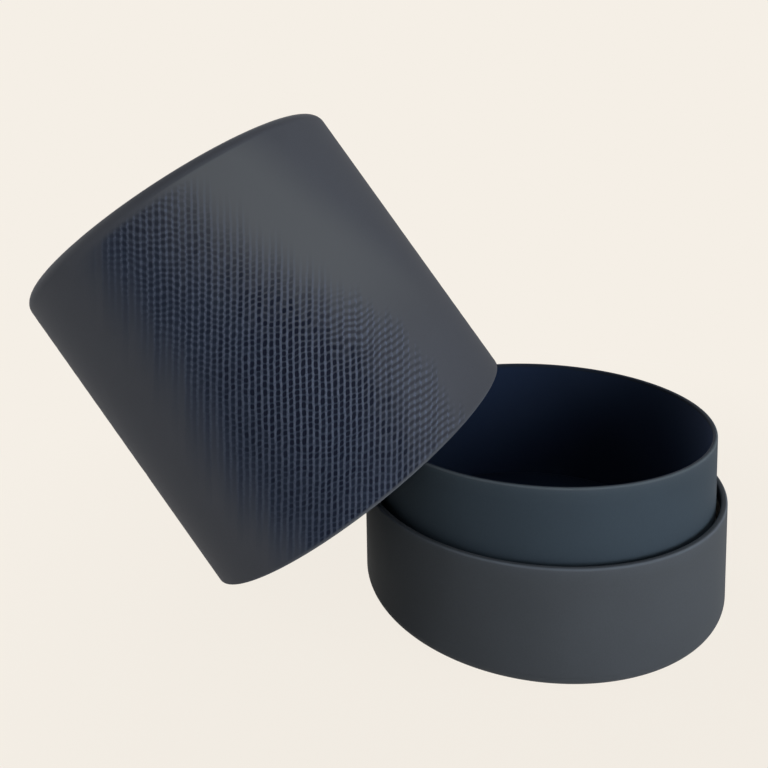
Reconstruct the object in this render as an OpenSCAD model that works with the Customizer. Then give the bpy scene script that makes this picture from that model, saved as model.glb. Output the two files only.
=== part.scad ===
// Round shoulder box of wrapped board: a base with a neck that stands up inside its shell,
// and a deep lid, taken off, that leans on the neck with its mouth down.
// Millimetres, +Z up. The origin is the middle of the base's foot, on the table.

/* [Box] */
// Outside diameter of the lid and of the base
box_d = 100; // [90:1:125]
// Height of the lid, from its rim to its closed end
lid_h = 93; // [60:1:140]
// Height of the base's outer shell
base_h = 29; // [24:0.5:36]
// How far the neck stands up above the shell
neck_rise = 17.4; // [10:0.2:26]
// Rounding of the closed ends' outer edges, over the paper
edge_r = 3.4; // [1:0.1:3.6]

/* [Board and paper] */
// Wall of the board tubes of the lid and the shell
board_t = 1.2; // [1.2:0.1:2.5]
// Wall of the neck's board tube
neck_board_t = 0.8; // [0.7:0.1:2]
// Thickness of the cover paper and of the lining paper
paper_t = 0.2; // [0.1:0.05:0.3]
// Thickness of an end board's outer disc
end_board_t = 3.6; // [3.6:0.1:6]
// Depth of an end board's plug, which fills the end of its tube
plug_t = 2; // [1:0.5:5]
// Thickness of the floor board inside the neck
floor_board_t = 1.5; // [0.8:0.1:3]

/* [Rims and fits] */
// Gap all round between the neck and the inside of the lid's mouth
slide_gap = 1.2; // [0.6:0.1:2]
// Rounding of the rims of the lid and the shell, over the paper
rim_r = 0.6; // [0.4:0.1:0.7]
// Rounding of the neck's rim, over the paper
neck_rim_r = 0.5; // [0.4:0.05:0.5]
// How far the cover paper is turned in over the lid's rim
turn_in = 8; // [3:0.5:15]
// How far the neck's cover paper is turned in over its rim, where the dark lining meets it
neck_turn_in = 1; // [0.8:0.1:8]
// How far the cover paper is turned over onto a closed end
turn_over = 5; // [2:0.5:20]
// Depth of the groove between the neck and the shell
groove_depth = 4; // [2:0.5:10]

/* [Leaning lid] */
// Tilt of the lid's axis from upright
lid_tilt = 35.5; // [30:0.5:42]
// Clearance between the lid's mouth and the neck's edge that it leans on
lean_gap = 0.1; // [0:0.05:1]

/* [Hidden] */
$fn = 180;

// Radii, from the outside in
box_r = box_d / 2;
board_ro = box_r - paper_t;
board_ri = board_ro - board_t;
mouth_r = board_ri - paper_t;
neck_ro = mouth_r - slide_gap;
neck_board_ro = neck_ro - paper_t;
neck_board_ri = neck_board_ro - neck_board_t;
neck_ri = neck_board_ri - paper_t;
// Radius of the paper disc on a closed end, inside the turned-over edge
face_paper_r = box_r - edge_r - turn_over;

// Depth of a closed end, from its outside face to its plug's inside face
end_depth = paper_t + end_board_t + plug_t;
groove_z = base_h - groove_depth;
neck_top = base_h + neck_rise;
floor_z = end_depth + floor_board_t;

// The lid stands on the lowest point of its rim, which puts the rim's middle at lean_z.
// mouth_reach is how far up the mouth, from its middle, the neck's edge is met.
// There the mouth's inner edge and the neck's edge cross at touch_x, one point on each side.
lean_z = box_r * sin(lid_tilt);
mouth_reach = (neck_top - lean_z) / sin(lid_tilt);
touch_x = -sqrt(max(0, neck_ro ^ 2 + mouth_reach ^ 2 - (mouth_r - lean_gap) ^ 2));
lean_x = touch_x - mouth_reach * cos(lid_tilt);

cover = [0.24, 0.26, 0.29];
neck_cover = [0.22, 0.25, 0.28];
lining = [0.05, 0.06, 0.12];
grey_board = [0.55, 0.52, 0.48];

// A strip of a turned profile, between two radii and two heights in either order
module strip(r_in, r_out, z_a, z_b) {
    translate([r_in, min(z_a, z_b)])
        square([r_out - r_in, abs(z_b - z_a)]);
}

// A quarter disc about a point of the profile; out and up are 1 or -1
module quarter_disc(x, z, r, out, up) {
    translate([x, z]) intersection() {
        circle(r);
        translate([min(0, out * r), min(0, up * r)])
            square(r);
    }
}

// A quarter ring of paper about a point of the profile
module bend(x, z, r, out, up) {
    difference() {
        quarter_disc(x, z, r, out, up);
        translate([x, z])
            circle(r - paper_t);
    }
}

// The wall of a tube, from its rounded rim to its square end
module wall(r_in, r_out, rim, end, r) {
    up = sign(end - rim);
    strip(r_in, r_out, rim + up * r, end);
    strip(r_in + r, r_out - r, rim, rim + up * r);
    for (x = [r_in + r, r_out - r])
        translate([x, rim + up * r])
            circle(r);
}

// Cover paper over a rim: up the outside, round the rim and turned in
module rim_cover(r_in, r_out, rim, outside_end, inside_end, r) {
    up = sign(outside_end - rim);
    strip(r_out - paper_t, r_out, rim + up * r, outside_end);
    bend(r_out - r, rim + up * r, r, 1, -up);
    strip(r_in + r, r_out - r, rim, rim + up * paper_t);
    bend(r_in + r, rim + up * r, r, -1, -up);
    strip(r_in, r_in + paper_t, rim + up * r, inside_end);
}

// Cover paper round a closed end's edge and turned over onto its face
module end_cover(face, inward) {
    bend(box_r - edge_r, face + inward * edge_r, edge_r, 1, -inward);
    strip(face_paper_r, box_r - edge_r, face, face + inward * paper_t);
}

// A closed end's board: a disc with a rounded edge, and the plug that fills the tube's end
module end_board(face, inward) {
    round_r = edge_r - paper_t;
    outside = face + inward * paper_t;
    shoulder = outside + inward * end_board_t;
    color(grey_board) rotate_extrude() {
        strip(0, board_ro - round_r, outside, shoulder);
        strip(0, board_ro, outside + inward * round_r, shoulder);
        quarter_disc(board_ro - round_r, outside + inward * round_r, round_r, 1, -inward);
        strip(0, board_ri, shoulder, shoulder + inward * plug_t);
    }
}

// Puts the lid, drawn upright on its rim, where it leans on the neck
module leaning() {
    translate([lean_x, 0, lean_z])
        rotate([0, -lid_tilt, 0])
            children();
}

module lid_tube() {
    leaning() color(grey_board) rotate_extrude()
        wall(board_ri, board_ro, paper_t, lid_h - paper_t - end_board_t, rim_r - paper_t);
}

module lid_end_board() {
    leaning() end_board(lid_h, -1);
}

module lid_wrap() {
    leaning() color(cover) rotate_extrude() {
        rim_cover(mouth_r, box_r, 0, lid_h - edge_r, turn_in, rim_r);
        end_cover(lid_h, -1);
    }
}

module lid_top_paper() {
    leaning() color(cover) rotate_extrude()
        strip(0, face_paper_r, lid_h - paper_t, lid_h);
}

module lid_lining() {
    leaning() color(lining) rotate_extrude()
        strip(mouth_r, board_ri, turn_in, lid_h - end_depth);
}

module lid_inner_disc() {
    leaning() color(lining) rotate_extrude()
        strip(0, mouth_r, lid_h - end_depth - paper_t, lid_h - end_depth);
}

module base_tube() {
    color(grey_board) rotate_extrude()
        wall(board_ri, board_ro, base_h - paper_t, paper_t + end_board_t, rim_r - paper_t);
}

module base_end_board() {
    end_board(0, 1);
}

module base_wrap() {
    color(cover) rotate_extrude() {
        rim_cover(mouth_r, box_r, base_h, edge_r, groove_z, rim_r);
        end_cover(0, 1);
    }
}

module base_foot_paper() {
    color(cover) rotate_extrude()
        strip(0, face_paper_r, 0, paper_t);
}

// Fills the space between the neck and the shell, up to the floor of the groove
module neck_packing() {
    color(grey_board) rotate_extrude()
        strip(neck_board_ro, board_ri, end_depth, groove_z);
}

module neck_tube() {
    color(grey_board) rotate_extrude()
        wall(neck_board_ri, neck_board_ro, neck_top - paper_t, end_depth, neck_rim_r - paper_t);
}

module neck_wrap() {
    color(neck_cover) rotate_extrude()
        rim_cover(neck_ri, neck_ro, neck_top, groove_z, neck_top - neck_turn_in, neck_rim_r);
}

module neck_lining() {
    color(lining) rotate_extrude()
        strip(neck_ri, neck_board_ri, floor_z, neck_top - neck_turn_in);
}

module floor_board() {
    color(grey_board) rotate_extrude()
        strip(0, neck_board_ri, end_depth, floor_z);
}

module floor_paper() {
    color(lining) rotate_extrude()
        strip(0, neck_ri, floor_z, floor_z + paper_t);
}

lid_tube();
lid_end_board();
lid_wrap();
lid_top_paper();
lid_lining();
lid_inner_disc();
base_tube();
base_end_board();
base_wrap();
base_foot_paper();
neck_packing();
neck_tube();
neck_wrap();
neck_lining();
floor_board();
floor_paper();
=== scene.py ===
# %% [markdown]
# # A round box with a neck, in dark wrapped board
# The box is made of three board tubes covered in matte paper: a low shell, a neck that stands up
# inside it, and a deep lid. The lid is off and leans on the neck with its mouth down. The solids
# come packed from the construction model, so this script only dresses them: it lays finely
# rounded paper skins over the boards, presses the weave in the lid's cover, and lights the set.

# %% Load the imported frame
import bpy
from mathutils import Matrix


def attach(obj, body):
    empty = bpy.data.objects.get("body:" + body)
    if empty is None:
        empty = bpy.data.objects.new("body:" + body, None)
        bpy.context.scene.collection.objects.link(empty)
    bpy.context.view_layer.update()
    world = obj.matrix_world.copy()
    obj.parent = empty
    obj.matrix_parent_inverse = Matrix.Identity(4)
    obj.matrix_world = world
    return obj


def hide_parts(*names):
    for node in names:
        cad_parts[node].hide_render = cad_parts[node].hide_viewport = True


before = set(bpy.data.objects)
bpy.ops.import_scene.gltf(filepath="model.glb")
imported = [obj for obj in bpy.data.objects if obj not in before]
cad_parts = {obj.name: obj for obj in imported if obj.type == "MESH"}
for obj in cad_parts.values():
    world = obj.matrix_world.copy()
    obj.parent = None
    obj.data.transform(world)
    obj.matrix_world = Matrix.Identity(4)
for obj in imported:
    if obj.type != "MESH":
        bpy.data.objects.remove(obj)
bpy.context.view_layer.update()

# %% Tools used below
from math import cos, pi, radians, sin, sqrt, tan
import bmesh
import bpy
import numpy as np
from mathutils import Matrix, Vector

MM = 0.001
scene = bpy.context.scene

# %% [markdown]
# ## Camera first
# The photograph is a crop of a larger picture, so its lines meet well above the middle of the
# frame. The render could be made larger and cropped, but a camera with a lens shift does the same
# with no waste: the lens looks nearly level, and the shift lowers the frame to the box. The focal
# length is given in pixels of the picture, and Blender wants millimetres on a 36 mm wide sensor.

# %% Camera
PICTURE_PX = 768
NEAREST = 5 * MM
FOCAL_PX = 744.44
AXIS_PX = (400, 215)
SENSOR_MM = 36
CAMERA_AT = Vector((-0.00362, -0.21028, 0.12429))
YAW, PITCH, ROLL = radians(-9.73), radians(5.69), radians(0.77)

lens = bpy.data.cameras.new("camera")
lens.sensor_width = SENSOR_MM
lens.lens = FOCAL_PX / PICTURE_PX * SENSOR_MM
lens.shift_x = (PICTURE_PX / 2 - AXIS_PX[0]) / PICTURE_PX
lens.shift_y = (AXIS_PX[1] - PICTURE_PX / 2) / PICTURE_PX
lens.clip_start = NEAREST
camera = bpy.data.objects.new("camera", lens)
turn = Matrix.Rotation(-YAW, 4, "Z") @ Matrix.Rotation(radians(90) - PITCH, 4, "X")
camera.matrix_world = Matrix.Translation(CAMERA_AT) @ turn @ Matrix.Rotation(-ROLL, 4, "Z")
scene.collection.objects.link(camera)
scene.camera = camera
print("lens", round(lens.lens, 2), "mm, shift", round(lens.shift_x, 4), round(lens.shift_y, 4))

# %% [markdown]
# ## Sizes
# These are the sizes of the real box in metres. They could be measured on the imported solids, but
# written out by name they say what each one is. The lid leans in the plane y = 0: it stands on the
# lowest point of its rim, and the inner edge of its mouth rests on the neck's upper edge. Both
# conditions together give where the middle of the rim is.

# %% Sizes of the box
BOX_R = 50 * MM
LID_H = 93 * MM
BASE_H = 29 * MM
NECK_RISE = 17.4 * MM
EDGE_R = 3.4 * MM
BOARD_T = 1.2 * MM
NECK_BOARD_T = 0.8 * MM
PAPER_T = 0.2 * MM
END_BOARD_T = 3.6 * MM
PLUG_T = 2 * MM
FLOOR_BOARD_T = 1.5 * MM
SLIDE_GAP = 1.2 * MM
RIM_R = 0.6 * MM
NECK_RIM_R = 0.5 * MM
TURN_IN = 8 * MM
NECK_TURN_IN = 1 * MM
TURN_OVER = 5 * MM
GROOVE_DEPTH = 4 * MM
LID_TILT = radians(35.5)
LEAN_GAP = 0.1 * MM

BOARD_RI = BOX_R - PAPER_T - BOARD_T
MOUTH_R = BOARD_RI - PAPER_T
NECK_RO = MOUTH_R - SLIDE_GAP
NECK_BOARD_RI = NECK_RO - PAPER_T - NECK_BOARD_T
NECK_RI = NECK_BOARD_RI - PAPER_T
FACE_R = BOX_R - EDGE_R - TURN_OVER
END_DEPTH = PAPER_T + END_BOARD_T + PLUG_T
GROOVE_Z = BASE_H - GROOVE_DEPTH
NECK_TOP = BASE_H + NECK_RISE
FLOOR_Z = END_DEPTH + FLOOR_BOARD_T

LEAN_Z = BOX_R * sin(LID_TILT)
mouth_reach = (NECK_TOP - LEAN_Z) / sin(LID_TILT)
touch_x = -sqrt(NECK_RO ** 2 + mouth_reach ** 2 - (MOUTH_R - LEAN_GAP) ** 2)
LEAN_X = touch_x - mouth_reach * cos(LID_TILT)
print("middle of the lid's rim at", round(LEAN_X, 5), round(LEAN_Z, 5))

# %% [markdown]
# ## Paper as a strip carried along a path
# Cover paper runs over an edge in one piece: along the wall, round the edge, and on. In section
# that is a path of straight stretches and round bends with a constant thickness. The path could be
# drawn as a curve and spun by a modifier, but a computed path keeps the arc length and the
# distance to the nearest bend, which the papers' finishes use later.

# %% A path of stretches and bends
def straight(start, end, facing, steps=1):
    """start + (end - start) * t for even t from 0 to 1; the unit normal is facing all along. The
    third value, how tight the path bends, is 0."""
    t = np.linspace(0, 1, steps + 1)[:, None]
    points = np.array(start) * (1 - t) + np.array(end) * t
    return points, np.tile(np.array(facing, float), (steps + 1, 1)), np.zeros(steps + 1)


def bend(centre, radius, start, end, steps):
    """centre + radius * (cos a, sin a) for even a from start to end, in degrees; the normal is
    (cos a, sin a). How tight it bends is a rim's radius over its own, at most 1, at its crest, and
    falls to 0 at its ends."""
    a = np.radians(np.linspace(start, end, steps + 1))
    facing = np.stack([np.cos(a), np.sin(a)], 1)
    crest = np.sin(np.linspace(0, pi, steps + 1))
    return np.array(centre) + radius * facing, facing, crest * min(1, RIM_R / radius)


def joined(*stretches):
    """The stretches end to end: from the second on, each leaves out its first point."""
    parts = [stretches[0]] + [tuple(a[1:] for a in s) for s in stretches[1:]]
    return tuple(np.concatenate(columns) for columns in zip(*parts))


EDGE_STEPS, RIM_STEPS = 14, 8
print("a rim's bend has", len(bend((0, 0), RIM_R, 0, 90, RIM_STEPS)[0]), "points")

# %% [markdown]
# ## Turning the strip into a sheet
# A sheet of paper is its path turned about the z axis, with the outside at the path and the inside
# one thickness behind it, closed at both cut ends. Where the path starts on the axis, as in a
# disc, the points of that row are one point, the pole. Rows and columns of a grid give the faces,
# so nothing is welded by hand. A Screw modifier with Solidify could turn it too, but whole arrays
# let the outside be pressed point by point. Corners keep their place on the unwrapped sheet in a
# UV map.

# %% From grids to meshes
# How far from a bend the rubbed edges and the highlight painted on its crest reach.
WEAR_AND_HIGHLIGHT_REACH = 0.7 * MM
POLE_R = 1e-6


def wear_and_highlight_of(points, bent):
    """The largest of tightness * exp(-(d / reach)^2) over the path's points, d being the distance
    along the path, and the path's length up to each point."""
    step = np.linalg.norm(np.diff(points, axis=0), axis=1)
    along = np.concatenate([[0], np.cumsum(step)])
    apart = (along[:, None] - along[None, :]) / WEAR_AND_HIGHLIGHT_REACH
    return (bent[None, :] * np.exp(-(apart ** 2))).max(1), along


def grid_faces(rows, columns):
    """Corner indices of a grid that is closed both ways: a row follows the last, and a column."""
    i, j = np.meshgrid(np.arange(rows), np.arange(columns), indexing="ij")
    below, beside = (i + 1) % rows, (j + 1) % columns
    corners = [(i, j), (i, beside), (below, beside), (below, j)]
    return np.stack([a * columns + b for a, b in corners], -1).reshape(-1, 4)


def mesh_of(name, points, faces, uv, marks):
    """A mesh of quads, with a UV for each corner and named values or vectors for each point."""
    mesh = bpy.data.meshes.new(name)
    mesh.from_pydata(points.reshape(-1, 3), [], faces)
    mesh.uv_layers.new(name="sheet").uv.foreach_set("vector", uv.reshape(-1).astype(np.float32))
    for key, values in marks.items():
        kind, field = ("FLOAT_VECTOR", "vector") if values.ndim > 2 else ("FLOAT", "value")
        mark = mesh.attributes.new(key, kind, "POINT")
        mark.data.foreach_set(field, values.reshape(-1).astype(np.float32))
    mesh.validate()
    return mesh


def merge_poles(mesh):
    """Makes one point of each row that lies on the axis, and keeps the UV of its corners. The edge
    that is left between the two poles has no faces, so it goes."""
    work = bmesh.new()
    work.from_mesh(mesh)
    bmesh.ops.remove_doubles(work, verts=work.verts, dist=POLE_R)
    bare = [edge for edge in work.edges if edge.is_wire]
    bmesh.ops.delete(work, geom=bare, context="EDGES")
    work.to_mesh(mesh)
    work.free()


print("a grid of 3 by 4 points has", len(grid_faces(3, 4)), "faces")

# %% Where a sheet stands
INSIDE_EVERY = 8


def upright(points):
    """Leaves the points where they are, on the base's axis."""
    return points


def leaning(points):
    """Turns points about the y axis by the lid's tilt, then moves them to the leaning rim."""
    x, y, z = np.moveaxis(points, -1, 0)
    c, s = cos(LID_TILT), sin(LID_TILT)
    return np.stack([LEAN_X + c * x - s * z, y, LEAN_Z + s * x + c * z], -1)


def turned(r, z, angles, place):
    """(r cos a, r sin a, z) as whole arrays, put in its place."""
    r = np.maximum(r, 0)
    return place(np.stack([r * np.cos(angles), r * np.sin(angles), z], -1))


def inside_rows(facing):
    """The rows that the plain inside needs, last first: both ends, those of the bends, and one in
    INSIDE_EVERY of a straight stretch."""
    turns = np.abs(np.diff(facing, axis=0)).sum(1) > 0
    turns = np.concatenate([[True], turns, [True]])
    kept = turns[1:] | turns[:-1] | (np.arange(len(facing)) % INSIDE_EVERY == 0)
    return np.flatnonzero(kept)[::-1]


print("the lid leans by", round(LID_TILT * 180 / pi, 1), "degrees")

# %% Angles all round, and the finished piece
SHARP_ANGLE = radians(42)
ROUND_COLUMNS = 256


def all_round(path, columns=ROUND_COLUMNS):
    """The same even angles for every point of the path."""
    a = np.arange(columns) * 2 * pi / columns
    return np.tile(a, (len(path[0]), 1))


def finish_piece(name, mesh):
    """Smooth shading that breaks at the paper's cut edges, and a place in the scene."""
    mesh.polygons.foreach_set("use_smooth", np.ones(len(mesh.polygons), bool))
    mesh.update()
    mesh.set_sharp_from_angle(angle=SHARP_ANGLE)
    piece = bpy.data.objects.new(name, mesh)
    scene.collection.objects.link(piece)
    mesh.calc_loop_triangles()
    print(name, len(mesh.loop_triangles), "triangles")
    return piece


print("a whole round has", ROUND_COLUMNS, "columns of faces")

# %% Turned paper sheets
def turned_sheet(name, path, place, angles, press=None, thickness=PAPER_T):
    """(r cos a, r sin a, z) for each point (r, z) of the path and each angle a, then the same
    path one thickness in, backwards. press gives how deep the outside is pressed in, and marks."""
    points, facing, bent = path
    rows = inside_rows(facing)
    wear_and_highlight, along = wear_and_highlight_of(points, bent)
    r, z = (np.repeat(c[:, None], angles.shape[1], 1) for c in points.T)
    out_r, out_z = (np.repeat(c[:, None], angles.shape[1], 1) for c in facing.T)
    depth, marks = press(turned(r, z, angles, place), angles, z) if press else (0, {})
    outside = turned(r - out_r * depth, z - out_z * depth, angles, place)
    inside = turned(r - out_r * thickness, z - out_z * thickness, angles, place)
    solid = np.concatenate([outside, inside[rows]])
    marks["wear_and_highlight"] = np.repeat(wear_and_highlight[:, None], angles.shape[1], 1)
    marks = {key: np.concatenate([v, v[rows] * 0]) for key, v in marks.items()}
    around = np.concatenate([angles, angles[rows]]) * BOX_R
    around = np.concatenate([around, around[:, :1] + 2 * pi * BOX_R], 1)
    length = np.repeat(np.concatenate([along, along[rows]])[:, None], around.shape[1], 1)
    sheet = np.stack([around, length], -1)
    below = np.roll(sheet, -1, axis=0)
    uv = np.stack([sheet[:, :-1], sheet[:, 1:], below[:, 1:], below[:, :-1]], 2).reshape(-1, 4, 2)
    faces = grid_faces(*solid.shape[:2])
    if facing[0, 0] * (points[1, 1] - points[0, 1]) < facing[0, 1] * (points[1, 0] - points[0, 0]):
        faces, uv = faces[:, ::-1], uv[:, ::-1]
    mesh = mesh_of(name, solid, faces, uv, marks)
    if points[:, 0].min() < POLE_R:
        merge_poles(mesh)
    return finish_piece(name, mesh)


print("each sheet is", PAPER_T / MM, "mm thick")

# %% [markdown]
# ## The base's papers
# The shell's cover is turned under the foot and in over the rim, down to the floor of the groove.
# The neck's cover goes over the neck's rim, and meets the dark lining just inside. A plain edge
# with a Bevel modifier would look the same from afar, but the path keeps the real turn of the
# paper, and the small bends at the rims catch the light as a fine line, which a highlight painted
# along their crests makes brighter.

# %% Shell cover and foot
SHELL_STEPS, DISC_STEPS, FOOT_COLUMNS = 8, 4, 96
shell_path = joined(
    straight((FACE_R, 0), (BOX_R - EDGE_R, 0), (0, -1)),
    bend((BOX_R - EDGE_R, EDGE_R), EDGE_R, -90, 0, EDGE_STEPS),
    straight((BOX_R, EDGE_R), (BOX_R, BASE_H - RIM_R), (1, 0), SHELL_STEPS),
    bend((BOX_R - RIM_R, BASE_H - RIM_R), RIM_R, 0, 90, RIM_STEPS),
    straight((BOX_R - RIM_R, BASE_H), (MOUTH_R + RIM_R, BASE_H), (0, 1)),
    bend((MOUTH_R + RIM_R, BASE_H - RIM_R), RIM_R, 90, 180, RIM_STEPS),
    straight((MOUTH_R, BASE_H - RIM_R), (MOUTH_R, GROOVE_Z), (-1, 0)),
)
shell_cover = turned_sheet("shell_cover", shell_path, upright, all_round(shell_path))
foot_path = straight((0, 0), (FACE_R, 0), (0, -1), DISC_STEPS)
foot_disc = turned_sheet("foot_disc", foot_path, upright, all_round(foot_path, FOOT_COLUMNS))

# %% Neck cover, lining and floor
LINING_STEPS, DISC_COLUMNS = 6, 128
lining_top = NECK_TOP - NECK_TURN_IN
neck_path = joined(
    straight((NECK_RO, GROOVE_Z), (NECK_RO, NECK_TOP - NECK_RIM_R), (1, 0), LINING_STEPS),
    bend((NECK_RO - NECK_RIM_R, NECK_TOP - NECK_RIM_R), NECK_RIM_R, 0, 90, RIM_STEPS),
    straight((NECK_RO - NECK_RIM_R, NECK_TOP), (NECK_RI + NECK_RIM_R, NECK_TOP), (0, 1)),
    bend((NECK_RI + NECK_RIM_R, NECK_TOP - NECK_RIM_R), NECK_RIM_R, 90, 180, RIM_STEPS),
    straight((NECK_RI, NECK_TOP - NECK_RIM_R), (NECK_RI, lining_top), (-1, 0)),
)
neck_cover = turned_sheet("neck_cover", neck_path, upright, all_round(neck_path))
lining_path = straight((NECK_RI, lining_top), (NECK_RI, FLOOR_Z), (-1, 0), LINING_STEPS)
neck_inside = turned_sheet("neck_inside", lining_path, upright, all_round(lining_path))
floor_top = FLOOR_Z + PAPER_T
floor_path = straight((0, floor_top), (NECK_RI, floor_top), (0, 1), DISC_STEPS)
floor_angles = all_round(floor_path, DISC_COLUMNS)
inside_floor = turned_sheet("inside_floor", floor_path, upright, floor_angles)

# %% [markdown]
# ## The lid's papers
# The lid is drawn upright on its rim and then leaned. Its cover carries a pressed weave: ridges
# side by side, with small square pits in the valleys between them. In the photograph the ridges
# hang straight down although the lid leans, so the weave is laid out flat, in the picture's own
# coordinates, and pressed straight back on the round. A bump map could draw it too, but this
# relief is in the mesh, so it shows in the bare model and catches a lamp that grazes it. Only the
# band that has the weave gets a dense grid, whose columns of faces lean as the ridges do.

# %% Where the lid's points stand in the picture
def in_picture(points):
    """The lens axis plus the focal length times the sideways offset over the distance."""
    right, up, back = (np.array(camera.matrix_world.col[k][:3]) for k in range(3))
    offset = points - np.array(CAMERA_AT)
    scale = FOCAL_PX / -(offset @ back)
    return AXIS_PX[0] + offset @ right * scale, AXIS_PX[1] - offset @ up * scale


def eased(x, low, high):
    """0 below low and 1 above high, with the smooth step 3 t^2 - 2 t^3 between."""
    t = np.clip((x - low) / (high - low), 0, 1)
    return t * t * (3 - 2 * t)


def inside_of(x, rise, fall):
    """Rises to 1 between the two values of rise, and falls back to 0 between those of fall."""
    return eased(x, *rise) * (1 - eased(x, *fall))


def at_least(low, share):
    """low where the share is 0, 1 where it is 1, and in proportion between."""
    return low + (1 - low) * share


rim_place = in_picture(np.array([[LEAN_X, 0, LEAN_Z]]))
print("the middle of the lid's rim is at pixel", [round(float(v[0])) for v in rim_place])

# %% The weave's lines
COLUMN_PX, RIGHT_COLUMN_PX, ROW_PX = 6.4, 5.6, 6.8
NARROWS_AT_PX, NARROWS_OVER_PX = 360, 25
LEVEL_COLUMN, ROW_BEND = 31, 0.0071
PHASE_SWING, PHASE_STEP = 0.3, 2.4
SWING_ENDS = (46, 58)
SMALL_SWING, SMALL_STEP = 0.2, 5.1
FAN_FROM_PX, FAN_Y_PX, FAN, FAN_CALM = (355, 400), 405, 0.15, 0.7
SWELL, SWELL_X_PX, SWELL_Y_PX = 0.30, 41, 57
# A wave is its height in cells, the pixels to a radian along x and along y, and its phase.
COLUMN_WAVES = [(0.12, 60, 37, 0), (0.025, -3.7, 5.3, 0), (0.02, 7.1, 2.9, 1)]
ROW_DRIFT = [(0.14, 13, 31, 0)]
ROW_WAVES = [(0.16, 11, 6.1, 0), (0.14, 4.3, -9.7, 2)]


def waving(x, y, waves):
    """The sum of height * sin(x / a + y / b + phase) over the waves."""
    return sum(height * np.sin(x / a + y / b + phase) for height, a, b, phase in waves)


def weave_place(x, y):
    """Columns counted along x, closer together past NARROWS_AT_PX, and rows counted upwards, which
    fan out past FAN_FROM_PX. Both waver by sums of sines, rows more than columns."""
    past = NARROWS_OVER_PX * np.logaddexp(0, (x - NARROWS_AT_PX) / NARROWS_OVER_PX)
    columns = x / COLUMN_PX + past * (1 / RIGHT_COLUMN_PX - 1 / COLUMN_PX)
    fanned = eased(x, *FAN_FROM_PX)
    rows = -y / ROW_PX + SWELL * np.sin(x / SWELL_X_PX) * np.sin(y / SWELL_Y_PX)
    rows = rows + waving(x, y, ROW_DRIFT) + waving(x, y, ROW_WAVES) * (1 - FAN_CALM * fanned)
    rows = rows + FAN * fanned * (y - FAN_Y_PX) / ROW_PX
    return columns + waving(x, y, COLUMN_WAVES), rows


def weave_cells(columns, rows):
    """How far each point is from the middle of its cell across and along, from 0 to 0.5, and the
    cell's numbers. Rows are level at LEVEL_COLUMN and bend upwards on both sides of it. Left of
    SWING_ENDS each column has its own phase, as in a coarse weave."""
    column = np.floor(columns)
    swing = PHASE_SWING * (1 - eased(columns, *SWING_ENDS)) * np.sin(column * PHASE_STEP)
    swing = swing + SMALL_SWING * np.sin(column * SMALL_STEP)
    rows = rows - ROW_BEND * (columns - LEVEL_COLUMN) ** 2 + swing
    row = np.floor(rows)
    return np.abs(columns - column - 0.5), np.abs(rows - row - 0.5), column, row


print("columns of the weave across the picture:", round(PICTURE_PX / COLUMN_PX))

# %% Where the weave lies on the lid
WEAVE_MIDDLE = radians(-66)
BAND_HEIGHTS = np.array([0, 15, 30, 50, 70, 85, 90]) * MM
BAND_LEFT = np.array([-31, -34, -34, -30, -30, -29, -24]) * MM
BAND_RIGHT = np.array([31, 32, 32, 23, 15, 11, 8]) * MM
BAND_LOW, BAND_HIGH = (0.2 * MM, 0.9 * MM), (87.5 * MM, 89.5 * MM)
CORE_AT, CORE_SIZE = (3 * MM, 33 * MM), (17 * MM, 20 * MM)
# A highlight is painted as a paler strip beside the band's right edge: its offset from the edge, its
# half width, the share of it that is full, and the heights over which it comes in.
HIGHLIGHT_STRIP_AT, HIGHLIGHT_STRIP_HALF, HIGHLIGHT_STRIP_FULL, HIGHLIGHT_STRIP_FROM = 3 * MM, 21 * MM, 0.2, (14 * MM, 60 * MM)
# The band's edges are ragged: waves of a height, by the column's number times a step.
RAGGED = [(1.2 * MM, 2.4), (1.0 * MM, 5.3)]
# How far in from the band's left edge, and from its right edge, each mark grows.
RIDGES_IN = (0, 12 * MM), (0, 12 * MM)
PITS_IN = (6 * MM, 16 * MM), (4 * MM, 22 * MM)
GROUND_IN = (-6 * MM, 14 * MM), (6 * MM, 32 * MM)
RIDGES_LEAST, PITS_LEAST = 0.5, 0.55
FAINT_LEFT, FAINT_LEAST = (-24 * MM, -6 * MM), 0.75
# The two corners with rows: in from the edge, and over which heights the rows come and go.
LOW_RIGHT, LOW_RIGHT_TOP = ((1 * MM, 7 * MM), (12 * MM, 24 * MM)), (34 * MM, 52 * MM)
HIGH_LEFT, HIGH_LEFT_FOOT = ((5 * MM, 13 * MM), (24 * MM, 34 * MM)), (40 * MM, 58 * MM)
# What ridges and pits lose in the low right and the high left corner, and what the bars gain.
RIDGES_LOSE, PITS_LOSE, BARS_GAIN = (0.8, 0.1), (0.6, 0.4), (1, 0.45)
print("the weave's band is", round((BAND_RIGHT[0] - BAND_LEFT[0]) / MM), "mm wide at the rim")

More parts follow.
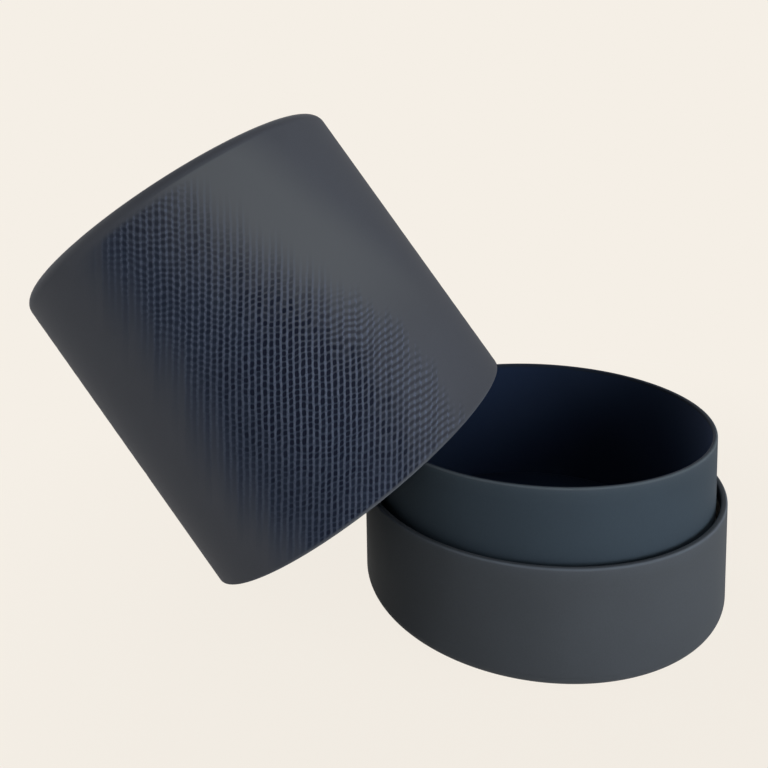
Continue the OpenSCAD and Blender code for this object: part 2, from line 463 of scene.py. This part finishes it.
# %% How strong the weave is
def weave_band(angles, z, column):
    """How strong the ridges, the pits, the bars of the rows and the dark ground are. All grow
    inwards from the band's two edges. The ridges and pits are strongest in a core,
    exp(-(du^2 + dz^2)). Beside the band's right edge a highlight is painted in a paler strip."""
    around = BOX_R * ((angles - WEAVE_MIDDLE + pi) % (2 * pi) - pi)
    core = ((around - CORE_AT[0]) / CORE_SIZE[0]) ** 2 + ((z - CORE_AT[1]) / CORE_SIZE[1]) ** 2
    core = np.exp(-core)
    ragged = sum(height * np.sin(column * step) for height, step in RAGGED)
    left = around - np.interp(z, BAND_HEIGHTS, BAND_LEFT) + ragged
    right = np.interp(z, BAND_HEIGHTS, BAND_RIGHT) - around
    beside = np.abs(right + HIGHLIGHT_STRIP_AT) / HIGHLIGHT_STRIP_HALF
    rubbed = (1 - eased(beside, HIGHLIGHT_STRIP_FULL, 1)) * eased(z, *HIGHLIGHT_STRIP_FROM)
    right = right + ragged
    ridges, pits, ground = (
        eased(left, *from_left) * eased(right, *from_right)
        for from_left, from_right in (RIDGES_IN, PITS_IN, GROUND_IN)
    )
    ridges = ridges * at_least(RIDGES_LEAST, core)
    ridges = ridges * at_least(FAINT_LEAST, eased(around, *FAINT_LEFT))
    pits = pits * at_least(PITS_LEAST, core)
    low_right = inside_of(right, *LOW_RIGHT) * (1 - eased(z, *LOW_RIGHT_TOP))
    high_left = inside_of(left, *HIGH_LEFT) * eased(z, *HIGH_LEFT_FOOT)
    bands = {
        "ridges": ridges * (1 - RIDGES_LOSE[0] * low_right) * (1 - RIDGES_LOSE[1] * high_left),
        "pits": pits * (1 - PITS_LOSE[0] * low_right) * (1 - PITS_LOSE[1] * high_left),
        "bars": BARS_GAIN[0] * low_right + BARS_GAIN[1] * high_left,
        "ground": ground,
    }
    ends = inside_of(z, BAND_LOW, BAND_HIGH)
    return {key: v * ends for key, v in bands.items()} | {"rubbed": rubbed}


probe = weave_band(np.array([WEAVE_MIDDLE]), np.array([LID_H / 2]), np.array([0]))
print("half way up:", {key: round(float(v[0]), 2) for key, v in probe.items()})

# %% Pressing the weave
# Distances are in cells, from a cell's middle. A valley, and the gap between two rows, is deepest
# up to the first of its two values and gone at the second. A pit has a half width and a half
# height, and fades out over PIT_EDGE, in shares of those.
VALLEY, ROW_GAP = (0.18, 0.42), (0.08, 0.38)
PIT_HALF, PIT_EDGE, PIT_SQUARE = (0.42, 0.48), (0.52, 1.02), 3
VALLEY_DEPTH, PIT_DEPTH, ROW_DEPTH = 0.04 * MM, 0.085 * MM, 0.035 * MM
UNEVEN, UNEVEN_STEPS = 0.15, (4.7, 3.1)


def pressed(at, angles, z):
    """Depth of the relief: shallow valleys between the ridges, deep pits in the valleys, and rows
    across them near two of the band's corners. A pit's edge is a square with rounded corners,
    |x|^n + |y|^n = 1 with n = PIT_SQUARE. Only the lid's outer wall is pressed."""
    columns, rows = weave_place(*in_picture(at))
    across, along, column, row = weave_cells(columns, rows)
    on_wall = np.zeros_like(z)
    on_wall[WALL_ROWS] = 1
    marks = {key: v * on_wall for key, v in weave_band(angles, z, column).items()}
    valley, row_gap = 1 - eased(across, *VALLEY), 1 - eased(along, *ROW_GAP)
    uneven = 1 - UNEVEN + UNEVEN * np.sin(column * UNEVEN_STEPS[0] + row * UNEVEN_STEPS[1])
    depth = VALLEY_DEPTH * marks["ridges"] * valley + ROW_DEPTH * marks["bars"] * row_gap
    powers = (across / PIT_HALF[0]) ** PIT_SQUARE + (along / PIT_HALF[1]) ** PIT_SQUARE
    pit = 1 - eased(powers ** (1 / PIT_SQUARE), *PIT_EDGE)
    depth = depth + PIT_DEPTH * marks["pits"] * pit * uneven
    marks["weave"] = np.stack([columns, rows, np.zeros_like(rows)], -1)
    return depth, marks


print("the deepest relief is", round((VALLEY_DEPTH + PIT_DEPTH) / MM, 3), "mm")

# %% Lid cover
WEAVE_LEAN = radians(35)
FINE_FROM, FINE_TO, FINE_STEP = -90 * MM, 32 * MM, 0.47 * MM
COARSE_STEP = 3.6 * MM
WALL_STEPS = 212

fine = np.arange(FINE_FROM, FINE_TO, FINE_STEP)
coarse = np.arange(FINE_TO, FINE_FROM + 2 * pi * BOX_R - COARSE_STEP / 2, COARSE_STEP)
columns_at = WEAVE_MIDDLE + np.concatenate([fine, coarse]) / BOX_R
end_bend = bend((BOX_R - EDGE_R, LID_H - EDGE_R), EDGE_R, 90, 0, EDGE_STEPS)
wall = straight((BOX_R, LID_H - EDGE_R), (BOX_R, RIM_R), (1, 0), WALL_STEPS)
lid_path = joined(
    straight((FACE_R, LID_H), (BOX_R - EDGE_R, LID_H), (0, 1)),
    end_bend,
    wall,
    bend((BOX_R - RIM_R, RIM_R), RIM_R, 0, -90, RIM_STEPS),
    straight((BOX_R - RIM_R, 0), (MOUTH_R + RIM_R, 0), (0, -1)),
    bend((MOUTH_R + RIM_R, RIM_R), RIM_R, -90, -180, RIM_STEPS),
    straight((MOUTH_R, RIM_R), (MOUTH_R, TURN_IN), (-1, 0)),
)
WALL_ROWS = slice(len(end_bend[0]), len(end_bend[0]) + WALL_STEPS)
lid_angles = columns_at[None, :] + lid_path[0][:, 1:] * tan(WEAVE_LEAN) / BOX_R
lid_cover = turned_sheet("lid_cover", lid_path, leaning, lid_angles, pressed)

# %% Lid face and lining
top_path = straight((FACE_R, LID_H), (0, LID_H), (0, 1), DISC_STEPS)
lid_top = turned_sheet("lid_top", top_path, leaning, all_round(top_path, DISC_COLUMNS))
inner_top = LID_H - END_DEPTH
lid_lining_path = straight((MOUTH_R, TURN_IN), (MOUTH_R, inner_top), (-1, 0), LINING_STEPS)
lid_inside = turned_sheet("lid_inside", lid_lining_path, leaning, all_round(lid_lining_path))
disc_z = inner_top - PAPER_T
disc_path = straight((MOUTH_R, disc_z), (0, disc_z), (0, -1), DISC_STEPS)
disc_angles = all_round(disc_path, DISC_COLUMNS)
lid_inside_disc = turned_sheet("lid_inside_disc", disc_path, leaning, disc_angles)

# %% [markdown]
# ## Finishes
# Uncoated paper with a soft touch is dark, matte and slightly cloudy. A flat colour would look
# like paint, so its colour and roughness drift a little over centimetres, and fine fibres rough
# its surface. On the edges, hands and the next box rub it paler and smoother, and on the crest
# of each tight bend a highlight is painted paler still. A scanned paper could give all this, but
# noise made by nodes stays sharp at any distance and needs no file.

# %% Node helpers
def new_material(name):
    """An empty node tree with a Principled shader wired to the output."""
    material = bpy.data.materials.new(name)
    material.use_nodes = True
    tree = material.node_tree
    tree.nodes.clear()
    shader = tree.nodes.new("ShaderNodeBsdfPrincipled")
    output = tree.nodes.new("ShaderNodeOutputMaterial")
    tree.links.new(shader.outputs["BSDF"], output.inputs["Surface"])
    return material, tree, shader


def feed(tree, socket, value):
    """Wires an output to the socket, or sets the socket to a plain value."""
    if isinstance(value, bpy.types.NodeSocket):
        tree.links.new(value, socket)
    else:
        socket.default_value = value


def calc(tree, operation, *values, clamp=False):
    """One Math node over sockets and numbers."""
    math = tree.nodes.new("ShaderNodeMath")
    math.operation = operation
    math.use_clamp = clamp
    for socket, value in zip(math.inputs, values):
        feed(tree, socket, value)
    return math.outputs[0]


def ramp(tree, value, low, high, out_low=0.0, out_high=1.0, smooth=True):
    """Maps low..high to out_low..out_high, eased at both ends unless smooth is False."""
    span = tree.nodes.new("ShaderNodeMapRange")
    span.interpolation_type = "SMOOTHSTEP" if smooth else "LINEAR"
    for socket, number in zip(span.inputs, (value, low, high, out_low, out_high)):
        feed(tree, socket, number)
    return span.outputs[0]


def blended(tree, share, first, second):
    """first where share is 0 and second where it is 1. On a Mix node set to colours, socket 0 takes
    the share, 6 and 7 take the two colours, and output 2 gives the mix."""
    mix = tree.nodes.new("ShaderNodeMix")
    mix.data_type = "RGBA"
    for socket, value in zip((mix.inputs[0], mix.inputs[6], mix.inputs[7]), (share, first, second)):
        feed(tree, socket, value)
    return mix.outputs[2]


print("node helpers:", ", ".join(f.__name__ for f in (new_material, feed, calc, ramp, blended)))

# %% Noise, marks and bump
def cloud(tree, coordinates, scale, detail, roughness=0.5):
    """Perlin noise of the given number of cells to the metre."""
    noise = tree.nodes.new("ShaderNodeTexNoise")
    feed(tree, noise.inputs["Vector"], coordinates)
    noise.inputs["Scale"].default_value = scale
    noise.inputs["Detail"].default_value = detail
    noise.inputs["Roughness"].default_value = roughness
    return noise.outputs["Fac"]


def mark_of(tree, name, output="Fac"):
    """The piece's own mark of that name."""
    mark = tree.nodes.new("ShaderNodeAttribute")
    mark.attribute_name = name
    return mark.outputs[output]


def object_place(tree):
    """Object coordinates in metres."""
    return tree.nodes.new("ShaderNodeTexCoord").outputs["Object"]


def vector_calc(tree, operation, *values, output="Vector"):
    """One Vector Math node over vectors, or over values taken as vectors."""
    math = tree.nodes.new("ShaderNodeVectorMath")
    math.operation = operation
    for socket, value in zip(math.inputs, values):
        feed(tree, socket, value)
    return math.outputs[output]


def bumped(tree, height, depth, below=None):
    """A surface normal for a height of 0 to 1 times depth, in metres."""
    bump = tree.nodes.new("ShaderNodeBump")
    bump.inputs["Distance"].default_value = depth
    feed(tree, bump.inputs["Height"], height)
    if below:
        tree.links.new(below, bump.inputs["Normal"])
    return bump.outputs["Normal"]


print("more helpers:", ", ".join(f.__name__ for f in (cloud, mark_of, object_place, bumped)))

# %% Soft-touch paper
PAPER_ROUGH, MATTE = (0.72, 0.80), 0.15
# Nearly all values of a noise lie in NOISE_SPAN.
NOISE_SPAN = (0.3, 0.7)
# A noise is its cells to the metre, its detail and, where it isn't a half, its roughness.
CLOUDS, CLOUDINESS = (28, 4), 0.08
FIBRES, FIBRE_DEPTH = (2600, 2, 0.6), 0.012 * MM
SPECK_SPAN, SPECK_TONES = (0.35, 0.65), (0.97, 1.03)
PATCHES, PATCH_LEAST = (160, 3), 0.6
# A highlight is painted on the crest of each tight bend: the first value narrows it, the second is
# how pale it goes, and the third how much smoother the crest is. The last is how much the edges are
# rubbed paler.
CREST_POWER, CREST_HIGHLIGHT, CREST_SMOOTHER, EDGE_WEAR = 7.0, 0.9, 0.1, 0.15


def paper_ground(tree, colour, pale):
    """The paper's own colour with its clouds, fibres and rubbed edges, and with a highlight painted
    on the crest of each tight bend; then the fibres' height, the clouds, and that crest's share,
    where the paper is also polished smoother."""
    place = object_place(tree)
    clouds = cloud(tree, place, *CLOUDS)
    fibres = cloud(tree, place, *FIBRES)
    patchy = ramp(tree, cloud(tree, place, *PATCHES), *NOISE_SPAN, PATCH_LEAST, 1.0)
    wear_and_highlight = mark_of(tree, "wear_and_highlight")
    rub = calc(tree, "MULTIPLY", wear_and_highlight, patchy)
    crest_polish_and_highlight = calc(tree, "POWER", wear_and_highlight, CREST_POWER)
    dark = tuple(c * (1 - CLOUDINESS) for c in colour) + (1,)
    light = tuple(c * (1 + CLOUDINESS) for c in colour) + (1,)
    ground = blended(tree, ramp(tree, clouds, *NOISE_SPAN), dark, light)
    speck = ramp(tree, fibres, *SPECK_SPAN, *SPECK_TONES, smooth=False)
    ground = vector_calc(tree, "MULTIPLY", ground, speck)
    # A highlight painted on the crests of tight bends, plus the edges' real rubbing.
    highlight_and_wear = calc(tree, "MULTIPLY_ADD", crest_polish_and_highlight, CREST_HIGHLIGHT, calc(tree, "MULTIPLY", rub, EDGE_WEAR))
    return blended(tree, highlight_and_wear, ground, pale + (1,)), fibres, clouds, crest_polish_and_highlight


def paper_roughness(tree, clouds):
    """The roughness drifts with the clouds between the two values of PAPER_ROUGH."""
    return ramp(tree, clouds, *NOISE_SPAN, *PAPER_ROUGH)


print("the paper's clouds are about", round(1 / CLOUDS[0] / MM), "mm across")

# %% Covers and linings
# The pale colours are those of the rubbed edges and of the highlight painted on bend crests.
SHELL, SHELL_PALE = (0.060, 0.070, 0.084), (0.115, 0.138, 0.17)
NECK, NECK_PALE = (0.0355, 0.0530, 0.0730), (0.095, 0.120, 0.145)
LINING, LINING_PALE, LINING_GLOSS = (0.017, 0.025, 0.042), (0.02, 0.02, 0.04), 0.5
NAVY_SHEEN = (0.03, 0.22, 1.0)
# The lining on the box's floor is painted darker by the first share, as shade deep in the box; the
# second value is its gloss.
FLOOR_PAINTED_SHADE, FLOOR_GLOSS = 0.25, 0.2
INNER_R, INNER_BLEND = NECK_RO - 0.45 * MM, 0.25 * MM


def soft_paper(name, colour, pale, specular=MATTE, tint=(1, 1, 1), inner=None):
    """Matte cover paper. Within the radius inner it is as dark as the lining that it meets. tint
    colours the faint reflection of a coated paper."""
    material, tree, shader = new_material(name)
    ground, fibres, clouds, crest_polish_and_highlight = paper_ground(tree, colour, pale)
    if inner:
        flat = vector_calc(tree, "MULTIPLY", object_place(tree), (1, 1, 0))
        out = vector_calc(tree, "LENGTH", flat, output="Value")
        inside = ramp(tree, out, inner - INNER_BLEND, inner, 1.0, 0.0)
        ground = blended(tree, inside, ground, LINING + (1,))
        crest_polish_and_highlight = calc(tree, "MULTIPLY", crest_polish_and_highlight, calc(tree, "SUBTRACT", 1.0, inside))
    feed(tree, shader.inputs["Base Color"], ground)
    rough = calc(tree, "MULTIPLY_ADD", crest_polish_and_highlight, -CREST_SMOOTHER, paper_roughness(tree, clouds))
    feed(tree, shader.inputs["Roughness"], rough)
    shader.inputs["Specular Tint"].default_value = tint + (1,)
    shader.inputs["Specular IOR Level"].default_value = specular
    feed(tree, shader.inputs["Normal"], bumped(tree, fibres, FIBRE_DEPTH))
    return material


shell_paper = soft_paper("shell_paper", SHELL, SHELL_PALE)
neck_paper = soft_paper("neck_paper", NECK, NECK_PALE, inner=INNER_R)
lining_paper = soft_paper("lining_paper", LINING, LINING_PALE, LINING_GLOSS, NAVY_SHEEN)
# Painted shade: the lining on the box's floor is painted darker than on its walls.
floor_shade_colour = tuple(c * FLOOR_PAINTED_SHADE for c in LINING)
floor_lining_painted_shade = soft_paper("floor_lining_painted_shade", floor_shade_colour, LINING_PALE, FLOOR_GLOSS, NAVY_SHEEN)
print("finishes:", shell_paper.name, neck_paper.name, lining_paper.name, floor_lining_painted_shade.name)

# %% [markdown]
# ## The woven paper's colours
# In the band the weave has a navy ground. Shade is painted into its hollows, so the pits go
# nearly black and the valleys and the gaps between rows darker, and a highlight is painted on
# the ridges, with bright specks. The relief alone is too shallow to give such a contrast, and
# painting it on a picture would not follow the mesh. So the same formulas that press the cells
# also colour them, from marks that the mesh carries at each point.

# %% The same cells in nodes
GAP = (0.24, 0.44)
PIT_STRENGTH = (0.6, 1.3)
THREAD_CHANCE, THREAD_STRENGTH = (0.1, 0.8), (0.25, 0.9)


def chance_of(tree, column, row):
    """A value from 0 to 1 that differs from cell to cell."""
    cell = tree.nodes.new("ShaderNodeCombineXYZ")
    feed(tree, cell.inputs["X"], column)
    feed(tree, cell.inputs["Y"], row)
    noise = tree.nodes.new("ShaderNodeTexWhiteNoise")
    feed(tree, noise.inputs["Vector"], cell.outputs[0])
    return noise.outputs["Value"]


def weave_marks(tree):
    """The same cells as the pressed relief: valleys between ridges, gaps between the rows, pits,
    and how strong each pit and each thread that crosses between two pits is."""
    apart = tree.nodes.new("ShaderNodeSeparateXYZ")
    feed(tree, apart.inputs[0], mark_of(tree, "weave", "Vector"))
    columns, rows = apart.outputs["X"], apart.outputs["Y"]
    column = calc(tree, "FLOOR", columns)
    swing = calc(tree, "SINE", calc(tree, "MULTIPLY", column, PHASE_STEP))
    swing = calc(tree, "MULTIPLY", swing, ramp(tree, columns, *SWING_ENDS, PHASE_SWING, 0.0))
    away = calc(tree, "SUBTRACT", columns, LEVEL_COLUMN)
    lift = calc(tree, "MULTIPLY", calc(tree, "MULTIPLY", away, away), -ROW_BEND)
    small = calc(tree, "SINE", calc(tree, "MULTIPLY", column, SMALL_STEP))
    swing = calc(tree, "MULTIPLY_ADD", small, SMALL_SWING, swing)
    rows = calc(tree, "ADD", calc(tree, "ADD", rows, lift), swing)
    pit_chance = chance_of(tree, column, calc(tree, "FLOOR", rows))
    thread_chance = chance_of(tree, column, calc(tree, "ADD", calc(tree, "ROUND", rows), 0.5))
    across = calc(tree, "ABSOLUTE", calc(tree, "SUBTRACT", calc(tree, "FRACT", columns), 0.5))
    along = calc(tree, "ABSOLUTE", calc(tree, "SUBTRACT", calc(tree, "FRACT", rows), 0.5))
    valley, gap = ramp(tree, across, *VALLEY, 1.0, 0.0), ramp(tree, along, *GAP, 1.0, 0.0)
    shares = [calc(tree, "DIVIDE", v, half) for v, half in zip((across, along), PIT_HALF)]
    powers = calc(tree, "ADD", *(calc(tree, "POWER", v, PIT_SQUARE) for v in shares))
    pit = ramp(tree, calc(tree, "POWER", powers, 1 / PIT_SQUARE), *PIT_EDGE, 1.0, 0.0)
    pit = calc(tree, "MULTIPLY", pit, ramp(tree, pit_chance, 0, 1, *PIT_STRENGTH, smooth=False))
    strength = ramp(tree, thread_chance, *THREAD_CHANCE, *THREAD_STRENGTH)
    thread = calc(tree, "MULTIPLY", calc(tree, "SUBTRACT", 1.0, gap), strength)
    row_gap = ramp(tree, along, *ROW_GAP, 1.0, 0.0)
    return valley, row_gap, pit, thread


print("a pit is", round(2 * PIT_HALF[0] * COLUMN_PX, 1), "pixels wide")

# %% Woven paper
# The pale colour is that of the rubbed edges and of the highlight painted on bend crests.
LID, LID_PALE = (0.072, 0.0796, 0.099), (0.10, 0.115, 0.14)
NAVY = (0.020, 0.031, 0.059, 1)
# The colour of the shade painted into the weave's pits, valleys and row gaps.
PIT_DARK = (0.0004, 0.0027, 0.0130, 1)
# The colour of the highlight painted on the ridges.
RIDGE_PALE = (0.101, 0.126, 0.188, 1)
# The colour of the highlight painted beside the band's right edge.
HIGHLIGHT_STRIP_PALE = (0.102, 0.112, 0.128, 1)
# Noise that breaks the ridges' painted highlight into bright specks, and its tones.
RIDGE_HIGHLIGHT_SPECKS, RIDGE_HIGHLIGHT_SPECK_TONES = (1500, 2, 0.6), (0.55, 1.35)
# How the painted highlight on the rows' crests dips over the valleys, and its strength.
BEAD_DIP, ROW_CREST = 0.75, 0.9
# How far the ground is tinted navy, and the painted highlight's share on the crests.
GROUND_SHARE, CREST_SHARE = 0.92, 0.8
# How dark the painted shade makes the pits, the valleys and the gaps between rows.
PIT_SHARE, GROOVE_SHARE, ROW_SHARE = 0.95, 0.42, 0.34
WEAVE_BUMP = 0.06 * MM


def woven_paper(name, colour, pale):
    """Cover paper with the weave: navy in the band, nearly black in the pits and darker in the
    valleys and row gaps with painted shade, and pale on the ridges with a painted highlight.
    """
    material, tree, shader = new_material(name)
    paper, fibres, clouds, _ = paper_ground(tree, colour, pale)
    # Painted highlight: a paler strip beside the band's right edge.
    paper = blended(tree, mark_of(tree, "rubbed"), paper, HIGHLIGHT_STRIP_PALE)
    valley, row_gap, pit, thread = weave_marks(tree)
    ridges, pits, bars, ground = (mark_of(tree, key) for key in ("ridges", "pits", "bars", "ground"))
    # Bright specks in the painted highlight on the ridges.
    ridge_highlight_specks = ramp(tree, cloud(tree, object_place(tree), *RIDGE_HIGHLIGHT_SPECKS), *NOISE_SPAN, *RIDGE_HIGHLIGHT_SPECK_TONES)
    # The painted highlight on the crests of the ridges and of the rows of bars.
    crest = calc(tree, "MULTIPLY", ridges, calc(tree, "SUBTRACT", 1.0, valley))
    beads = calc(tree, "MULTIPLY", calc(tree, "MULTIPLY_ADD", valley, -BEAD_DIP, 1.0), ROW_CREST)
    row_crest = calc(tree, "MULTIPLY", bars, calc(tree, "SUBTRACT", 1.0, row_gap))
    crest = calc(tree, "MULTIPLY_ADD", row_crest, beads, crest, clamp=True)
    crest = calc(tree, "MULTIPLY", crest, ridge_highlight_specks)
    crossing = calc(tree, "MULTIPLY", pits, thread)
    groove = calc(tree, "MULTIPLY", valley, calc(tree, "SUBTRACT", 1.0, crossing))
    groove = calc(tree, "MULTIPLY", groove, ridges)
    hole = calc(tree, "MULTIPLY", pit, pits)
    rows_between = calc(tree, "MULTIPLY", bars, row_gap)
    tinted = blended(tree, calc(tree, "MULTIPLY", ground, GROUND_SHARE), paper, NAVY)
    lit = blended(tree, calc(tree, "MULTIPLY", crest, CREST_SHARE, clamp=True), tinted, RIDGE_PALE)
    # Painted shade in the pits, the valleys between the ridges and the gaps between rows.
    dark = calc(tree, "MULTIPLY_ADD", hole, PIT_SHARE, calc(tree, "MULTIPLY", groove, GROOVE_SHARE))
    dark = calc(tree, "MULTIPLY_ADD", rows_between, ROW_SHARE, dark, clamp=True)
    feed(tree, shader.inputs["Base Color"], blended(tree, dark, lit, PIT_DARK))
    feed(tree, shader.inputs["Roughness"], paper_roughness(tree, clouds))
    shader.inputs["Specular IOR Level"].default_value = MATTE
    fine_grain = bumped(tree, fibres, FIBRE_DEPTH)
    height = calc(tree, "SUBTRACT", 1.0, dark)
    feed(tree, shader.inputs["Normal"], bumped(tree, height, WEAVE_BUMP, fine_grain))
    return material


lid_paper = woven_paper("lid_paper", LID, LID_PALE)
print("woven paper:", len(lid_paper.node_tree.nodes), "nodes")

# %% [markdown]
# ## Grey board
# Where the boards show, in the groove and at a cut edge, they are recycled grey board: pale
# grey-brown, rough, with darker specks. Two noises, one of clouds and one of specks, are enough
# for what is seen of it, so the boards need no geometry of their own.

# %% Grey board
BOARD_DARK, BOARD_PALE = (0.22, 0.2, 0.17, 1), (0.3, 0.275, 0.24, 1)
SPECK_COLOUR = (0.1, 0.09, 0.08, 1)
BOARD_CLOUDS, BOARD_SPECKS, BOARD_SPECK_SPAN = (90, 3), (1400, 4, 0.7), (0.56, 0.68)
BOARD_ROUGH, BOARD_GLOSS, BOARD_BUMP = (0.8, 0.95), 0.2, 0.05 * MM


def board_material():
    """Recycled board: pale and darker grey-brown in soft clouds, with dark specks, and rough."""
    material, tree, shader = new_material("grey_board")
    place = object_place(tree)
    specks = cloud(tree, place, *BOARD_SPECKS)
    clouds = ramp(tree, cloud(tree, place, *BOARD_CLOUDS), *NOISE_SPAN)
    ground = blended(tree, clouds, BOARD_DARK, BOARD_PALE)
    speckled = blended(tree, ramp(tree, specks, *BOARD_SPECK_SPAN), ground, SPECK_COLOUR)
    feed(tree, shader.inputs["Base Color"], speckled)
    feed(tree, shader.inputs["Roughness"], ramp(tree, specks, *NOISE_SPAN, *BOARD_ROUGH))
    shader.inputs["Specular IOR Level"].default_value = BOARD_GLOSS
    feed(tree, shader.inputs["Normal"], bumped(tree, specks, BOARD_BUMP))
    return material


grey_board = board_material()
print("board:", grey_board.name, len(grey_board.node_tree.nodes), "nodes")

# %% [markdown]
# ## Dressing the frame
# Each paper skin stands for one solid of the construction model and rides on the body that the
# solid belongs to, so the lid's papers go with the lid. The boards keep their own solids, whose
# shape is right, and only get the grey board. One table says all of it, so nothing is forgotten.

# %% Dress the pieces
DRESS = [
    (lid_cover, "lid", "lid_wrap", "cover_paper", lid_paper),
    (lid_top, "lid", "lid_top_paper", "cover_paper", lid_paper),
    (lid_inside, "lid", "lid_lining", "lining_paper", lining_paper),
    (lid_inside_disc, "lid", "lid_inner_disc", "lining_paper", lining_paper),
    (shell_cover, "base", "base_wrap", "cover_paper", shell_paper),
    (foot_disc, "base", "base_foot_paper", "cover_paper", shell_paper),
    (neck_cover, "base", "neck_wrap", "neck_paper", neck_paper),
    (neck_inside, "base", "neck_lining", "lining_paper", lining_paper),
    (inside_floor, "base", "floor_paper", "lining_paper", floor_lining_painted_shade),
]
for piece, body, node, slot, material in DRESS:
    piece.data.materials.append(material)
    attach(piece, body)
    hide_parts(node)

replaced = {row[2] for row in DRESS}
for name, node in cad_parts.items():
    if name in replaced:
        continue
    for slot in node.material_slots:
        slot.material = grey_board
print("papers:", len(DRESS), "boards:", len(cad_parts) - len(replaced))

# %% [markdown]
# ## Floor and background
# The photograph's background is one flat cream, with no horizon. More light on a white floor could
# bleach it flat, but would also bleach the box. So the floor and the world both show that cream to
# the camera and to reflections, and for light the floor is an ordinary pale surface. Near the box
# a small share of it shows, so the shadow stays on the floor.

# %% Floor
CREAM = (0.913, 0.863, 0.791, 1)
FLOOR_SHARE = 0.05
FLOOR_COLOUR = (0.86, 0.82, 0.75, 1)
FLOOR_HALF, FLOOR_DROP = 6.0, 0.02 * MM
SHADOW_NEAR, SHADOW_FAR = 0.06, 0.22


def shown_ray(tree):
    """1 for camera, glossy and transmission rays, and 0 for the rays that carry light."""
    path = tree.nodes.new("ShaderNodeLightPath")
    glossy = calc(tree, "MAXIMUM", path.outputs["Is Glossy Ray"], path.outputs["Is Transmission Ray"])
    return calc(tree, "MAXIMUM", path.outputs["Is Camera Ray"], glossy)


def floor_material():
    """Cream for the camera, with a share of the lit floor near the box."""
    material, tree, shader = new_material("floor")
    tree.nodes.remove(shader)
    output = tree.nodes["Material Output"]
    lit = tree.nodes.new("ShaderNodeBsdfDiffuse")
    lit.inputs["Color"].default_value = FLOOR_COLOUR
    flat = tree.nodes.new("ShaderNodeEmission")
    flat.inputs["Color"].default_value = CREAM
    away = vector_calc(tree, "LENGTH", object_place(tree), output="Value")
    near = ramp(tree, away, SHADOW_NEAR, SHADOW_FAR, FLOOR_SHARE, 0.0)
    share = calc(tree, "MULTIPLY", shown_ray(tree), calc(tree, "SUBTRACT", 1.0, near))
    mix = tree.nodes.new("ShaderNodeMixShader")
    for socket, value in zip(mix.inputs, (share, lit.outputs[0], flat.outputs[0])):
        feed(tree, socket, value)
    tree.links.new(mix.outputs[0], output.inputs["Surface"])
    return material


sides = [(-1, -1), (1, -1), (1, 1), (-1, 1)]
corners = [(x * FLOOR_HALF, y * FLOOR_HALF, -FLOOR_DROP) for x, y in sides]
floor_mesh = bpy.data.meshes.new("floor")
floor_mesh.from_pydata(corners, [], [(0, 1, 2, 3)])
floor = bpy.data.objects.new("floor", floor_mesh)
floor_mesh.materials.append(floor_material())
scene.collection.objects.link(floor)
print("floor:", 2 * FLOOR_HALF, "m wide")

# %% World
AMBIENT = (0.9, 0.95, 1.0, 1)
AMBIENT_STRENGTH = 0.01
world = bpy.data.worlds.new("room")
world.use_nodes = True
air = world.node_tree
air.nodes.clear()
room = air.nodes.new("ShaderNodeBackground")
room.inputs["Color"].default_value = AMBIENT
room.inputs["Strength"].default_value = AMBIENT_STRENGTH
backdrop = air.nodes.new("ShaderNodeBackground")
backdrop.inputs["Color"].default_value = CREAM
choose = air.nodes.new("ShaderNodeMixShader")
sky = air.nodes.new("ShaderNodeOutputWorld")
feed(air, choose.inputs[0], shown_ray(air))
feed(air, choose.inputs[1], room.outputs[0])
feed(air, choose.inputs[2], backdrop.outputs[0])
air.links.new(choose.outputs[0], sky.inputs["Surface"])
scene.world = world
print("world:", world.name, "ambient light", AMBIENT_STRENGTH)

# %% [markdown]
# ## Lights
# The light in the photograph falls from the right, nearly level, soft and wide. A sun or a spot
# would draw hard edges, so every lamp is a square softbox. Two of them give that light, a smaller
# one from above rounds the right side, and two wide ones fill the darker left side and the back.

# %% Softboxes
AIM = Vector((-0.04, 0, 0.05))


def softbox(name, azimuth, elevation, distance, size, watts):
    """A square lamp that faces the box. Azimuth 0 is in front, and 90 is to the right."""
    a, e = radians(azimuth), radians(elevation)
    toward = Vector((sin(a) * cos(e), -cos(a) * cos(e), sin(e)))
    light = bpy.data.lights.new(name, "AREA")
    light.size = size
    light.energy = watts
    lamp = bpy.data.objects.new(name, light)
    lamp.location = AIM + toward * distance
    lamp.rotation_mode = "QUATERNION"
    lamp.rotation_quaternion = toward.to_track_quat("Z", "Y")
    scene.collection.objects.link(lamp)


# A lamp is its name, azimuth and elevation in degrees, distance and size in metres, and watts.
LAMPS = [
    ("key", 45, 4, 0.5, 0.3, 1.59),
    ("side", 60, 5, 0.9, 0.45, 1.29),
    ("high", 75, 50, 0.4, 0.15, 0.207),
    ("left", -90, 20, 0.9, 0.45, 2.75),
    ("back", -150, 40, 0.9, 0.45, 2.2),
]
for lamp in LAMPS:
    softbox(*lamp)
print("lamps:", len(LAMPS), "with", round(sum(lamp[-1] for lamp in LAMPS), 2), "watts in all")

# %% [markdown]
# ## Last settings
# The Standard view shows a colour about as it is written. A filmic view would soften the brightest
# tones, but this scene has none to save.

# %% View settings
scene.view_settings.view_transform = "Standard"
